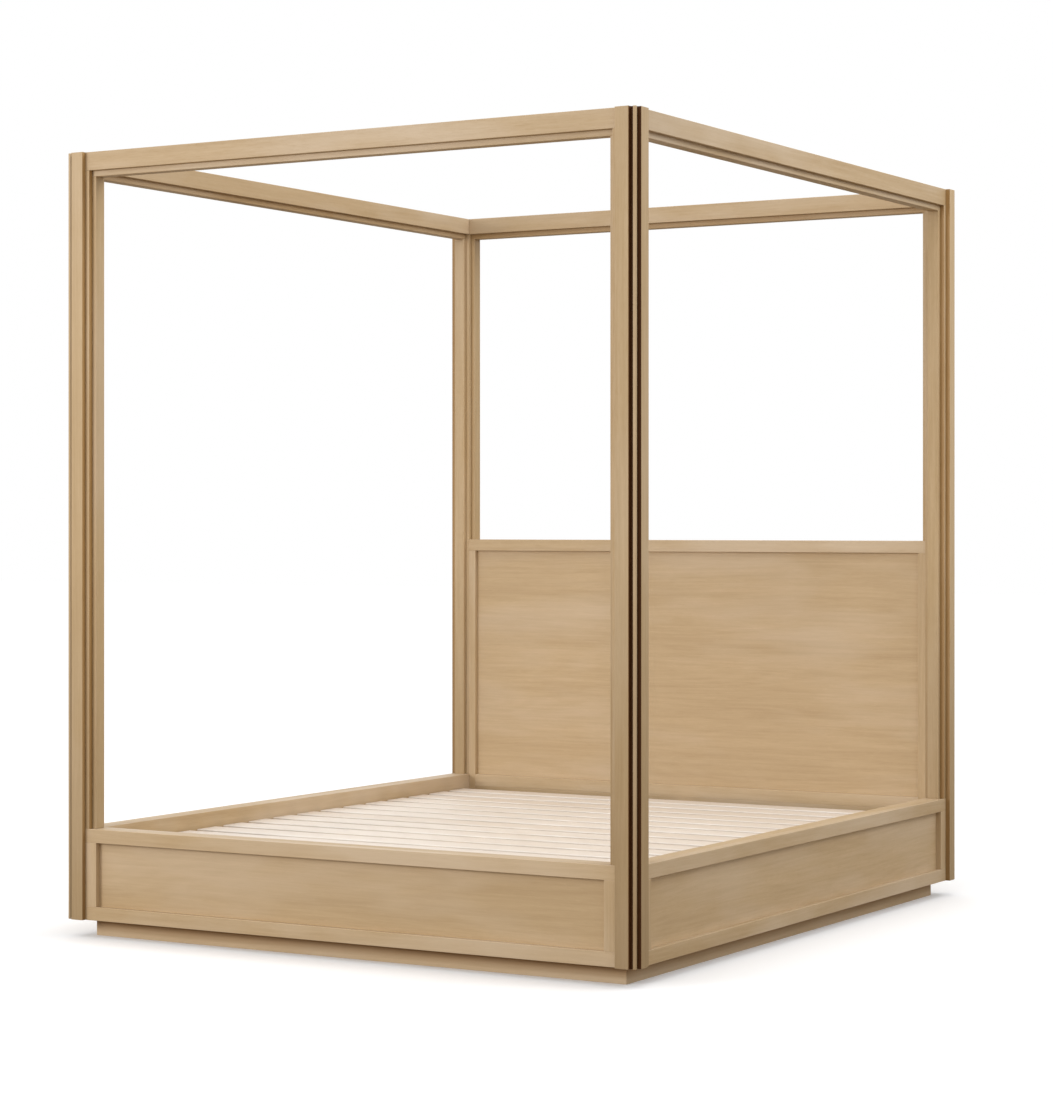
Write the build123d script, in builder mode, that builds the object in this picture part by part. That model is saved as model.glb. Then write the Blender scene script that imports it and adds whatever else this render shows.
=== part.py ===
from build123d import *
import os

# Four poster canopy bed, in millimetres.
# Frame: origin on the floor at the centre of the bed, +X to the right seen from the foot,
# +Y from the foot to the head, +Z up.
#
# The bed is drawn side by side. Seen from outside, each side runs from its start post on the
# left to its end post on the right. On every side "along" is measured from the start corner
# and "depth" inwards from the outermost plane.

# ---- overall sizes ----
bed_width = 2020.0
bed_length = 2328.0
bed_height = 2432.0
post_bottom = 54.0

# ---- stepped section shared by posts, rails and frames ----
step = 15.0                 # each step back from one face to the next
post_size = 70.0
corner_notch = 26.0         # the flats of a post stop this far short of its corner
bead_setback = 8.0
bead_size = 9.0
frame_outer = step          # depth of the outer face of rails, strips and frames
frame_inner = 85.0          # depth of their inner face
lip_outer = 2 * step
lip_inner = 70.0
lip_width = 15.0
edge_round = 1.5

# ---- canopy ----
canopy_face = 57.0
canopy_lip_height = 18.0

# ---- framed skirts and headboard ----
skirt_height = 282.0
headboard_height = 1168.0
member_width = 42.0
skirt_frame_inner = 45.0    # depth where the skirt's frame meets the bed rail
panel_thickness = 12.0
panel_recess = 15.0
groove_depth = 8.0
groove_clearance = 0.3      # left round the edges of every panel
panel_play = 0.2            # left on each face of a panel in its groove

# ---- plinth ----
plinth_inset = 70.0
plinth_thickness = 25.0
plinth_block = 45.0

# ---- slats and what carries them ----
slat_count = 15
slat_width = 100.0
slat_thickness = 20.0
slat_drop = 50.0            # slat tops lie this far below the skirt's top
slat_end_gap = 5.0
slat_end_margin = 49.0      # from the well's end to the first slat
slat_round = 3.0
ledger_width = 30.0
ledger_height = 40.0
ledger_end_gap = 5.0
beam_width = 45.0
beam_height = 70.0
beam_end_gap = 0.5
leg_size = 45.0
leg_count = 3
glide_radius = 16.0
glide_height = 6.0
hanger_wall = 3.0
hanger_height = 55.0
hanger_reach = 45.0
hanger_gap = 0.3
strap_width = 25.0
strap_thickness = 1.6
strap_offset = 450.0

# ---- fasteners ----
stud_radius = 4.0
stud_in_post = 20.0
stud_in_rail = 42.0
stud_in_stile = 34.0
hole_clearance = 0.2
hole_extra = 1.0
nut_radius = 7.0
nut_length = 18.0
nut_cover = 12.0            # from the stud's tip back to the nut's axis
stud_levels = {
    "foot": (130.0, 190.0),
    "right": (155.0, 215.0),
    "head": (130.0, 640.0, 1140.0),
    "left": (155.0, 215.0),
}
screw_shank = 2.2
screw_head = 4.4
screw_head_depth = 3.0
slat_screw_length = 38.0
ledger_screw_length = 55.0
ledger_screw_count = 6
ledger_screw_rise = 12.0    # above the ledger's underside
ledger_screw_margin = 160.0

# ---- levels worked out from the sizes above ----
canopy_bottom = bed_height - canopy_face
canopy_lip_bottom = canopy_bottom - canopy_lip_height
skirt_top = post_bottom + skirt_height
headboard_top = post_bottom + headboard_height
slat_top = skirt_top - slat_drop
slat_bottom = slat_top - slat_thickness
ledger_bottom = slat_bottom - ledger_height
beam_bottom = slat_bottom - beam_height
well_width = bed_width - 2 * frame_inner
well_length = bed_length - 2 * frame_inner
member_inner = post_size + member_width
plinth_height = post_bottom + member_width     # level with the top of the bottom rails
skirt_panel_outer = skirt_frame_inner - panel_thickness
back_panel_outer = frame_outer + panel_recess
front_panel_outer = frame_inner - panel_recess - panel_thickness
bed_rail_middle = (skirt_frame_inner + post_size) / 2
canopy_stud_depth = (frame_outer + lip_inner) / 2
canopy_stud_level = bed_height - canopy_face / 2

# ---- the four sides ----
sides = ("foot", "right", "head", "left")
skirt_sides = ("foot", "right", "left")
half_width = bed_width / 2
half_length = bed_length / 2
side_corner = {
    "foot": (-half_width, -half_length),
    "right": (half_width, -half_length),
    "head": (half_width, half_length),
    "left": (-half_width, half_length),
}
side_along = {"foot": (1, 0, 0), "right": (0, 1, 0), "head": (-1, 0, 0), "left": (0, -1, 0)}
side_span = {"foot": bed_width, "right": bed_length, "head": bed_width, "left": bed_length}
side_before = {"foot": "left", "right": "foot", "head": "right", "left": "head"}
start_post = {
    "foot": "foot_left",
    "right": "foot_right",
    "head": "head_right",
    "left": "head_left",
}


def plan(side, level):
    """Horizontal plane of a side: x along it, y inwards."""
    x, y = side_corner[side]
    return Plane(origin=(x, y, level), x_dir=side_along[side], z_dir=(0, 0, 1))


def spot(side, along, depth, level):
    """Point of a side in the bed's frame."""
    return plan(side, level).from_local_coords(Vector(along, depth, 0))


def direction(side, along, depth):
    """Level unit vector of a side in the bed's frame."""
    return spot(side, along, depth, 0) - spot(side, 0, 0, 0)


def prism(side, points, bottom, top, mode=Mode.ADD):
    """Upright prism on a side's plan, in the piece being built."""
    with BuildSketch(plan(side, bottom)) as outline:
        with BuildLine():
            Polyline(*points, close=True)
        make_face()
    extrude(outline.sketch, amount=top - bottom, mode=mode)


def block(side, start, end, outer, inner, bottom, top, mode=Mode.ADD):
    """Upright block on a side's plan, in the piece being built."""
    with BuildSketch(plan(side, bottom)) as outline:
        with Locations((start, outer)):
            Rectangle(end - start, inner - outer, align=(Align.MIN, Align.MIN))
    extrude(outline.sketch, amount=top - bottom, mode=mode)


def mitred_outline(side, outer, inner):
    """Plan of a board between two posts, mitred where it passes their inner corners."""
    span = side_span[side]
    return (
        (post_size, outer),
        (span - post_size, outer),
        (span - post_size, post_size),
        (span - inner, inner),
        (inner, inner),
        (post_size, post_size),
    )


def pocket(side, outer, bottom, top):
    """Groove for a panel, cut from whatever frame member is being built."""
    start = member_inner - groove_depth
    end = side_span[side] - start
    block(side, start, end, outer, outer + panel_thickness,
          bottom - groove_depth, top + groove_depth, mode=Mode.SUBTRACT)


def panel_board(side, outer, bottom, top):
    """Panel that fills a pocket less its clearances, in the piece being built."""
    start = member_inner - groove_depth + groove_clearance
    end = side_span[side] - start
    block(side, start, end, outer + panel_play, outer + panel_thickness - panel_play,
          bottom - groove_depth + groove_clearance, top + groove_depth - groove_clearance)


def finish_piece(piece, label):
    piece.part.label = label
    export_step(piece.part, f"parts/{label}.step")


def side_studs(side, kind):
    """Studs of a side: joint position, way into the rail, depth, level and reach."""
    ends = ((post_size, 1), (side_span[side] - post_size, -1))
    if kind == "canopy":
        places = [(canopy_stud_depth, canopy_stud_level, stud_in_rail)]
    elif kind == "stile":
        places = [(canopy_stud_depth, level, stud_in_stile) for level in stud_levels[side]]
    else:
        places = [(bed_rail_middle, level, stud_in_rail) for level in stud_levels[side]]
    return [(joint, way, *place) for joint, way in ends for place in places]


def low_kind(side):
    """Studs of the head side sit in the headboard's stiles, the others in the bed rails."""
    return "stile" if side == "head" else "bed_rail"


def stud_plane(side, joint, way, depth, level):
    """Plane at a joint whose z points out of the rail, back into the post."""
    return Plane(origin=spot(side, joint, depth, level), z_dir=direction(side, -way, 0))


def nut_plane(side, joint, way, depth, level, reach, kind):
    """Plane on a nut's axis at the stud, with z towards the mouth of its hole."""
    along = joint + way * (reach - nut_cover)
    z_dir = Vector(0, 0, 1)
    if kind == "stile":
        z_dir = direction(side, 0, -1)
    if kind == "bed_rail":
        z_dir = direction(side, 0, 1)
    return Plane(origin=spot(side, along, depth, level), z_dir=z_dir)


def nut_hole_rise(kind):
    """From the stud's axis out to the mouth of the nut's hole."""
    if kind == "canopy":
        return bed_height - canopy_stud_level
    if kind == "stile":
        return canopy_stud_depth - frame_outer
    return frame_inner - bed_rail_middle


def drill_rail(side, kind):
    """Stud and barrel nut holes of a side, cut from the member being built."""
    for joint, way, depth, level, reach in side_studs(side, kind):
        with Locations(stud_plane(side, joint, way, depth, level)):
            Hole(stud_radius + hole_clearance, depth=reach + hole_extra)
        axis = nut_plane(side, joint, way, depth, level, reach, kind)
        rise = nut_hole_rise(kind)
        with Locations(axis.offset(rise)):
            Hole(nut_radius + hole_clearance, depth=rise + nut_length / 2)


def drill_post(side):
    """Stud holes of both sides that meet at a side's start post."""
    before = side_before[side]
    for kind in ("canopy", low_kind(side)):
        for joint, way, depth, level, reach in side_studs(side, kind):
            if way > 0:
                with Locations(Plane(origin=spot(side, joint, depth, level),
                                     z_dir=direction(side, 1, 0))):
                    Hole(stud_radius + hole_clearance, depth=stud_in_post + hole_extra)
    for kind in ("canopy", low_kind(before)):
        for joint, way, depth, level, reach in side_studs(before, kind):
            if way < 0:
                with Locations(Plane(origin=spot(before, joint, depth, level),
                                     z_dir=direction(before, -1, 0))):
                    Hole(stud_radius + hole_clearance, depth=stud_in_post + hole_extra)


os.makedirs("parts", exist_ok=True)

# ---- posts: square, with a stepped notch down the outer corner ----
for side in sides:
    with BuildPart() as post:
        bead_inner = bead_setback + bead_size
        prism(side, (
            (corner_notch, 0),
            (post_size, 0),
            (post_size, post_size),
            (0, post_size),
            (0, corner_notch),
            (step, corner_notch),
            (step, bead_inner),
            (bead_inner, bead_inner),
            (bead_inner, step),
            (corner_notch, step),
        ), post_bottom, bed_height)
        flat_edges = [
            edge
            for edge in post.edges().filter_by(Axis.Z)
            if min((plan(side, 0).to_local_coords(edge.center())).X,
                   (plan(side, 0).to_local_coords(edge.center())).Y) < 0.01
        ]
        fillet(flat_edges, radius=edge_round)
        drill_post(side)
    finish_piece(post, f"post_{start_post[side]}")

# ---- corner beads: a square strip seated in the corner of each notch ----
for side in sides:
    with BuildPart() as bead:
        block(side, bead_setback, bead_setback + bead_size,
              bead_setback, bead_setback + bead_size, post_bottom, bed_height)
        outer_edge = bead.edges().filter_by(Axis.Z).sort_by_distance(spot(side, 0, 0, bed_height / 2))
        fillet(outer_edge[0], radius=edge_round)
    finish_piece(bead, f"corner_bead_{start_post[side]}")

# ---- canopy: a rail and a thinner lip under it on each side ----
for side in sides:
    span = side_span[side]
    with BuildPart() as canopy_rail:
        prism(side, mitred_outline(side, frame_outer, frame_inner), canopy_bottom, bed_height)
        drill_rail(side, "canopy")
    finish_piece(canopy_rail, f"canopy_rail_{side}")

    with BuildPart() as canopy_lip:
        block(side, frame_inner, span - frame_inner, lip_outer, lip_inner,
              canopy_lip_bottom, canopy_bottom)
    finish_piece(canopy_lip, f"canopy_lip_{side}")

# ---- jambs: a stepped strip up each post, from the skirt or headboard to the canopy ----
for side in sides:
    span = side_span[side]
    jamb_bottom = headboard_top if side == "head" else skirt_top
    lip_end = frame_inner + lip_width
    with BuildPart() as jambs:
        prism(side, (
            (post_size, frame_outer),
            (frame_inner, frame_outer),
            (frame_inner, frame_inner),
            (post_size, post_size),
        ), jamb_bottom, canopy_bottom)
        block(side, frame_inner, lip_end, lip_outer, lip_inner, jamb_bottom, canopy_lip_bottom)
        prism(side, (
            (span - post_size, frame_outer),
            (span - frame_inner, frame_outer),
            (span - frame_inner, frame_inner),
            (span - post_size, post_size),
        ), jamb_bottom, canopy_bottom)
        block(side, span - lip_end, span - frame_inner, lip_outer, lip_inner,
              jamb_bottom, canopy_lip_bottom)
    finish_piece(jambs, f"jambs_{side}")

# ---- skirts: a frame of two rails and two stiles round a recessed panel ----
panel_bottom = post_bottom + member_width
panel_top = skirt_top - member_width
for side in skirt_sides:
    span = side_span[side]
    with BuildPart() as top_rail:
        block(side, post_size, span - post_size, frame_outer, skirt_frame_inner,
              panel_top, skirt_top)
        pocket(side, skirt_panel_outer, panel_bottom, panel_top)
    finish_piece(top_rail, f"skirt_top_rail_{side}")

    with BuildPart() as stiles:
        block(side, post_size, member_inner, frame_outer, skirt_frame_inner,
              panel_bottom, panel_top)
        block(side, span - member_inner, span - post_size, frame_outer, skirt_frame_inner,
              panel_bottom, panel_top)
        pocket(side, skirt_panel_outer, panel_bottom, panel_top)
    finish_piece(stiles, f"skirt_stiles_{side}")

    with BuildPart() as skirt_panel:
        panel_board(side, skirt_panel_outer, panel_bottom, panel_top)
    finish_piece(skirt_panel, f"skirt_panel_{side}")

# the bottom rail is alike on all four sides
for side in sides:
    with BuildPart() as bottom_rail:
        block(side, post_size, side_span[side] - post_size, frame_outer, skirt_frame_inner,
              post_bottom, panel_bottom)
        pocket(side, skirt_panel_outer, panel_bottom, panel_top)
    finish_piece(bottom_rail, f"skirt_bottom_rail_{side}")

# ---- bed rails: the boards behind the skirts that carry the bed ----
for side in skirt_sides:
    with BuildPart() as bed_rail:
        prism(side, mitred_outline(side, skirt_frame_inner, frame_inner),
              plinth_height, skirt_top)
        drill_rail(side, "bed_rail")
        if side != "foot":
            ledger_face = frame_inner + ledger_width
            for number in range(ledger_screw_count):
                run = side_span[side] - 2 * ledger_screw_margin
                along = ledger_screw_margin + run * number / (ledger_screw_count - 1)
                mouth = spot(side, along, frame_inner, ledger_bottom + ledger_screw_rise)
                with Locations(Plane(origin=mouth, z_dir=direction(side, 0, 1))):
                    Hole(screw_shank + hole_clearance,
                         depth=ledger_screw_length - ledger_width + hole_extra)
    finish_piece(bed_rail, f"bed_rail_{side}")

with BuildPart() as head_bed_rail:
    block("head", member_inner, bed_width - member_inner, skirt_frame_inner, frame_inner,
          plinth_height, panel_top)
finish_piece(head_bed_rail, "bed_rail_head")

# ---- headboard: stiles, three rails and a panel on each face ----
upper_bottom = skirt_top
upper_top = headboard_top - member_width
with BuildPart() as headboard_stiles:
    for start, mirror in ((0, 1), (bed_width, -1)):
        prism("head", (
            (start + mirror * post_size, frame_outer),
            (start + mirror * member_inner, frame_outer),
            (start + mirror * member_inner, frame_inner),
            (start + mirror * frame_inner, frame_inner),
            (start + mirror * post_size, post_size),
        ), plinth_height, upper_top)
    pocket("head", skirt_panel_outer, panel_bottom, panel_top)
    pocket("head", back_panel_outer, upper_bottom, upper_top)
    pocket("head", front_panel_outer, upper_bottom, upper_top)
    drill_rail("head", "stile")
finish_piece(headboard_stiles, "headboard_stiles")

with BuildPart() as headboard_top_rail:
    prism("head", mitred_outline("head", frame_outer, frame_inner), upper_top, headboard_top)
    pocket("head", back_panel_outer, upper_bottom, upper_top)
    pocket("head", front_panel_outer, upper_bottom, upper_top)
finish_piece(headboard_top_rail, "headboard_top_rail")

with BuildPart() as headboard_mid_rail:
    block("head", member_inner, bed_width - member_inner, frame_outer, frame_inner,
          panel_top, skirt_top)
    pocket("head", skirt_panel_outer, panel_bottom, panel_top)
    pocket("head", back_panel_outer, upper_bottom, upper_top)
    pocket("head", front_panel_outer, upper_bottom, upper_top)
finish_piece(headboard_mid_rail, "headboard_mid_rail")

with BuildPart() as headboard_front_panel:
    panel_board("head", front_panel_outer, upper_bottom, upper_top)
finish_piece(headboard_front_panel, "headboard_front_panel")

with BuildPart() as headboard_back_panel:
    panel_board("head", back_panel_outer, upper_bottom, upper_top)
finish_piece(headboard_back_panel, "headboard_back_panel")

with BuildPart() as headboard_lower_panel:
    panel_board("head", skirt_panel_outer, panel_bottom, panel_top)
finish_piece(headboard_lower_panel, "headboard_lower_panel")

# ---- plinth: four mitred boards set back from the skirts, with a block in each corner ----
plinth_inner = plinth_inset + plinth_thickness
for side in sides:
    span = side_span[side]
    with BuildPart() as plinth_board:
        prism(side, (
            (plinth_inset, plinth_inset),
            (span - plinth_inset, plinth_inset),
            (span - plinth_inner, plinth_inner),
            (plinth_inner, plinth_inner),
        ), 0, plinth_height)
    finish_piece(plinth_board, f"plinth_board_{side}")

with BuildPart() as plinth_blocks:
    for side in sides:
        block(side, plinth_inner, plinth_inner + plinth_block,
              plinth_inner, plinth_inner + plinth_block, 0, plinth_height)
finish_piece(plinth_blocks, "plinth_corner_blocks")

# ---- where the slats and their screws go ----
slat_length = well_width - 2 * slat_end_gap
slat_run = well_length - 2 * slat_end_margin - slat_width
slat_pitch = slat_run / (slat_count - 1)
screw_across = well_width / 2 - ledger_width / 2

# ---- ledgers on the bed rails of the two long sides ----
with BuildPart() as ledgers:
    for side in ("right", "left"):
        block(side, frame_inner + ledger_end_gap, bed_length - frame_inner - ledger_end_gap,
              frame_inner, frame_inner + ledger_width, ledger_bottom, slat_bottom)
        for number in range(ledger_screw_count):
            run = bed_length - 2 * ledger_screw_margin
            along = ledger_screw_margin + run * number / (ledger_screw_count - 1)
            mouth = spot(side, along, frame_inner + ledger_width,
                         ledger_bottom + ledger_screw_rise)
            with Locations(Plane(origin=mouth, z_dir=direction(side, 0, 1))):
                CounterBoreHole(screw_shank + hole_clearance, screw_head + hole_clearance,
                                screw_head_depth, depth=ledger_width)
    with Locations(Plane.XY.offset(slat_bottom)):
        with GridLocations(2 * screw_across, slat_pitch, 2, slat_count):
            Hole(screw_shank + hole_clearance,
                 depth=slat_screw_length - slat_thickness + hole_extra)
finish_piece(ledgers, "slat_ledgers")

# ---- slats ----
with BuildPart() as slats:
    with Locations((0, 0, slat_top)):
        with GridLocations(1, slat_pitch, 1, slat_count):
            Box(slat_length, slat_width, slat_thickness,
                align=(Align.CENTER, Align.CENTER, Align.MAX))
    fillet(slats.edges().filter_by(Axis.X).group_by(Axis.Z)[-1], radius=slat_round)
    with Locations(Plane.XY.offset(slat_top)):
        with GridLocations(2 * screw_across, slat_pitch, 2, slat_count):
            CounterBoreHole(screw_shank + hole_clearance, screw_head + hole_clearance,
                            screw_head_depth, depth=slat_thickness)
finish_piece(slats, "slats")

# ---- webbing straps that tie the slats together from below ----
with BuildPart() as straps:
    with Locations((-strap_offset, 0, slat_bottom), (strap_offset, 0, slat_bottom)):
        Box(strap_width, slat_run + slat_width, strap_thickness,
            align=(Align.CENTER, Align.CENTER, Align.MAX))
finish_piece(straps, "slat_straps")

# ---- centre beam, its two hangers, its legs and their glides ----
beam_length = well_length - 2 * (hanger_wall + beam_end_gap)
with BuildPart() as centre_beam:
    with Locations((0, 0, slat_bottom)):
        Box(beam_width, beam_length, beam_height,
            align=(Align.CENTER, Align.CENTER, Align.MAX))
finish_piece(centre_beam, "centre_beam")

hanger_clear = beam_width + 2 * hanger_gap
hanger_width = hanger_clear + 2 * hanger_wall
with BuildPart() as beam_hangers:
    for side in ("foot", "head"):
        middle = bed_width / 2
        hanger_bottom = beam_bottom - hanger_gap - hanger_wall
        block(side, middle - hanger_width / 2, middle + hanger_width / 2,
              frame_inner, frame_inner + hanger_reach,
              hanger_bottom, hanger_bottom + hanger_height)
        block(side, middle - hanger_clear / 2, middle + hanger_clear / 2,
              frame_inner + hanger_wall, frame_inner + hanger_reach,
              hanger_bottom + hanger_wall, hanger_bottom + hanger_height, mode=Mode.SUBTRACT)
finish_piece(beam_hangers, "beam_hangers")

leg_pitch = well_length / (leg_count + 1)
with BuildPart() as centre_legs:
    with Locations((0, 0, beam_bottom)):
        with GridLocations(1, leg_pitch, 1, leg_count):
            Box(leg_size, leg_size, beam_bottom - glide_height,
                align=(Align.CENTER, Align.CENTER, Align.MAX))
finish_piece(centre_legs, "centre_legs")

with BuildPart() as leg_glides:
    with GridLocations(1, leg_pitch, 1, leg_count):
        Cylinder(glide_radius, glide_height, align=(Align.CENTER, Align.CENTER, Align.MIN))
    fillet(leg_glides.edges().group_by(Axis.Z)[0], radius=edge_round)
finish_piece(leg_glides, "leg_glides")

# ---- fasteners: studs and barrel nuts at every post, screws through slats and ledgers ----
with BuildPart() as joint_studs:
    for side in sides:
        for kind in ("canopy", low_kind(side)):
            for joint, way, depth, level, reach in side_studs(side, kind):
                with Locations(stud_plane(side, joint, way, depth, level).offset(stud_in_post)):
                    Cylinder(stud_radius, stud_in_post + reach,
                             align=(Align.CENTER, Align.CENTER, Align.MAX))
finish_piece(joint_studs, "joint_studs")

with BuildPart() as barrel_nuts:
    for side in sides:
        for kind in ("canopy", low_kind(side)):
            for joint, way, depth, level, reach in side_studs(side, kind):
                with Locations(nut_plane(side, joint, way, depth, level, reach, kind)):
                    Cylinder(nut_radius, nut_length)
                with Locations(stud_plane(side, joint, way, depth, level)):
                    Hole(stud_radius + hole_clearance, depth=reach + hole_extra)
finish_piece(barrel_nuts, "barrel_nuts")

with BuildPart() as slat_screws:
    with Locations(Plane.XY.offset(slat_top)):
        with GridLocations(2 * screw_across, slat_pitch, 2, slat_count):
            Cylinder(screw_shank, slat_screw_length,
                     align=(Align.CENTER, Align.CENTER, Align.MAX))
            Cylinder(screw_head, screw_head_depth,
                     align=(Align.CENTER, Align.CENTER, Align.MAX))
finish_piece(slat_screws, "slat_screws")

with BuildPart() as ledger_screws:
    for side in ("right", "left"):
        for number in range(ledger_screw_count):
            run = bed_length - 2 * ledger_screw_margin
            along = ledger_screw_margin + run * number / (ledger_screw_count - 1)
            mouth = spot(side, along, frame_inner + ledger_width,
                         ledger_bottom + ledger_screw_rise)
            with Locations(Plane(origin=mouth, z_dir=direction(side, 0, 1))):
                Cylinder(screw_shank, ledger_screw_length,
                         align=(Align.CENTER, Align.CENTER, Align.MAX))
                Cylinder(screw_head, screw_head_depth,
                         align=(Align.CENTER, Align.CENTER, Align.MAX))
finish_piece(ledger_screws, "ledger_screws")
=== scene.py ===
import bmesh
import bpy
import math
from mathutils import Matrix, Vector


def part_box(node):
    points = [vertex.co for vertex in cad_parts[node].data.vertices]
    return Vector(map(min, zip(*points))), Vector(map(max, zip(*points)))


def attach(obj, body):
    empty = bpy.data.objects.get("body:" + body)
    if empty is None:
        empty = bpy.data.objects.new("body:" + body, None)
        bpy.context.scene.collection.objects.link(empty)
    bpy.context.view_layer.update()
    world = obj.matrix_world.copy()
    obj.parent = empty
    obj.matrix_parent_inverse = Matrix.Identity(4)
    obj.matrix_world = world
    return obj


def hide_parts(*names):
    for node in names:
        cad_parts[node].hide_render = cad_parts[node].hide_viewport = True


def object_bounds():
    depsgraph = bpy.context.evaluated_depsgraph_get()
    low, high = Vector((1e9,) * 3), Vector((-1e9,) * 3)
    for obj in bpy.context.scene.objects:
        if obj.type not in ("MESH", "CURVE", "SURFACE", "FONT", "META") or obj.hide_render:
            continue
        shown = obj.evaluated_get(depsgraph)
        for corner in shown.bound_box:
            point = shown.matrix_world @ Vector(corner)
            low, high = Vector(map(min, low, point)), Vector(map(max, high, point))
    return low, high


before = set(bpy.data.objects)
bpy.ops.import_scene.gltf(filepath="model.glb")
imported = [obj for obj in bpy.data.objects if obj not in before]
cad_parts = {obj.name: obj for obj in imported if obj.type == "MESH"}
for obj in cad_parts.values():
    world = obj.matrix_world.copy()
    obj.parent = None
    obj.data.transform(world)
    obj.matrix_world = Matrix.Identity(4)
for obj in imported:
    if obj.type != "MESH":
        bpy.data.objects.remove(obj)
cad_low, cad_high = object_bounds()

# ---- sizes in metres, the same as the frame's ----
POST = 0.070
NOTCH = 0.026
STEP = 0.015
BEAD_SETBACK = 0.008
BEAD = 0.009
FRAME_INNER = 0.085
LIP_OUTER = 0.030
LIP_INNER = 0.070
LIP_WIDTH = 0.015
MEMBER = 0.042
SKIRT_FRAME_INNER = 0.045
PLINTH_INNER = 0.095
PANEL = 0.012
SKIRT_PANEL_DEPTH = 0.033
FRONT_PANEL_DEPTH = 0.058
BACK_PANEL_DEPTH = 0.030
EDGE = 0.0012
SOFT_EDGE = 0.0020
SLAT_EDGE = 0.0030
PANEL_EDGE = 0.0004
HAIR = 0.0002    # left free so that two faces never share a plane
CLOSE = 0.0005   # places nearer than this count as the same

half_width = cad_high[0]
half_length = cad_high[1]
canopy_top = cad_high[2]
canopy_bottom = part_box("canopy_rail_foot")[0][2]
canopy_lip_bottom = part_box("canopy_lip_foot")[0][2]
skirt_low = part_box("post_foot_left")[0][2]
skirt_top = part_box("skirt_top_rail_foot")[1][2]
panel_low = skirt_low + MEMBER
panel_high = skirt_top - MEMBER
headboard_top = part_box("headboard_top_rail")[1][2]
plinth_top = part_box("plinth_board_foot")[1][2]

# ---- the four sides: start corner, direction along the side, direction inwards ----
SIDES = {
    "foot": ((-half_width, -half_length), (1, 0), (0, 1), 2 * half_width),
    "right": ((half_width, -half_length), (0, 1), (-1, 0), 2 * half_length),
    "head": ((half_width, half_length), (-1, 0), (0, -1), 2 * half_width),
    "left": ((-half_width, half_length), (0, -1), (1, 0), 2 * half_length),
}
START_POST = {"foot": "foot_left", "right": "foot_right", "head": "head_right", "left": "head_left"}
GRAIN_ALONG = {"foot": 0, "right": 1, "head": 0, "left": 1}


def span_of(side):
    return SIDES[side][3]


def on_plan(side, along, depth):
    """Plan position of a point measured along a side and inwards from its outermost plane."""
    corner, run, inward, _ = SIDES[side]
    return (corner[0] + run[0] * along + inward[0] * depth,
            corner[1] + run[1] * along + inward[1] * depth)


def outline_on(side, points):
    return [on_plan(side, along, depth) for along, depth in points]


def rectangle_on(side, start, end, outer, inner):
    return outline_on(side, [(start, outer), (end, outer), (end, inner), (start, inner)])


def mitred_on(side, outer, inner):
    """Board between two posts, mitred where it passes their inner corners."""
    span = span_of(side)
    return outline_on(side, [(POST, outer), (span - POST, outer), (span - POST, POST),
                             (span - inner, inner), (inner, inner), (POST, POST)])


# =====================================================================================
# Board making
# =====================================================================================
SHARP_ANGLE = 0.1
HOLE_SIDES = 24
WELD = 0.00002
# share of the painted riser shade that the inward side of a canopy lip gets
LIP_PAINTED_SHADE_SHARE = 0.6
BOARD_SHIFT = (1.37, 0.61, 0.23)
TONE_SPIN = 12.9898
board_count = 0


def make_prism(outline, low, high, round_over):
    """Upright prism with its convex edges eased, and a face layer that marks those edges."""
    solid = bmesh.new()
    worn = solid.faces.layers.float.new("worn")
    lower = [solid.verts.new((x, y, low)) for x, y in outline]
    upper = [solid.verts.new((x, y, high)) for x, y in outline]
    solid.faces.new(list(reversed(lower)))
    solid.faces.new(upper)
    for i in range(len(outline)):
        j = (i + 1) % len(outline)
        solid.faces.new((lower[i], lower[j], upper[j], upper[i]))
    bmesh.ops.recalc_face_normals(solid, faces=solid.faces)
    if round_over > 0:
        convex = [edge for edge in solid.edges if edge.calc_face_angle_signed() > SHARP_ANGLE]
        result = bmesh.ops.bevel(solid, geom=convex, offset=round_over, offset_type="OFFSET",
                                 segments=2, profile=0.5, affect="EDGES", clamp_overlap=True)
        for face in result["faces"]:
            if face.is_valid:
                face[worn] = 1.0
    return solid


def temporary(mesh):
    thing = bpy.data.objects.new("temporary", mesh)
    bpy.context.scene.collection.objects.link(thing)
    return thing


def settled_mesh(thing):
    """Plain mesh of an object with its modifiers applied."""
    bpy.context.view_layer.update()
    settled = thing.evaluated_get(bpy.context.evaluated_depsgraph_get())
    mesh = bpy.data.meshes.new_from_object(settled)
    thing.modifiers.clear()
    return mesh


def mesh_of(solid, name):
    mesh = bpy.data.meshes.new(name)
    solid.to_mesh(mesh)
    solid.free()
    return mesh


def cut_away(blank_mesh, cutter_mesh):
    """Mesh of the first solid less the second."""
    blank = temporary(blank_mesh)
    tool = temporary(cutter_mesh)
    cut = blank.modifiers.new("Cut", "BOOLEAN")
    cut.operation = "DIFFERENCE"
    cut.solver = "EXACT"
    cut.use_self = True
    cut.object = tool
    made = settled_mesh(blank)
    for thing in (blank, tool):
        bpy.data.objects.remove(thing)
    return made


def bore(start, direction, radius, depth, over=0.001):
    """Cutter for a round hole: it starts a little outside the mouth."""
    return (Vector(start), Vector(direction).normalized(), radius, depth, over)


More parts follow.
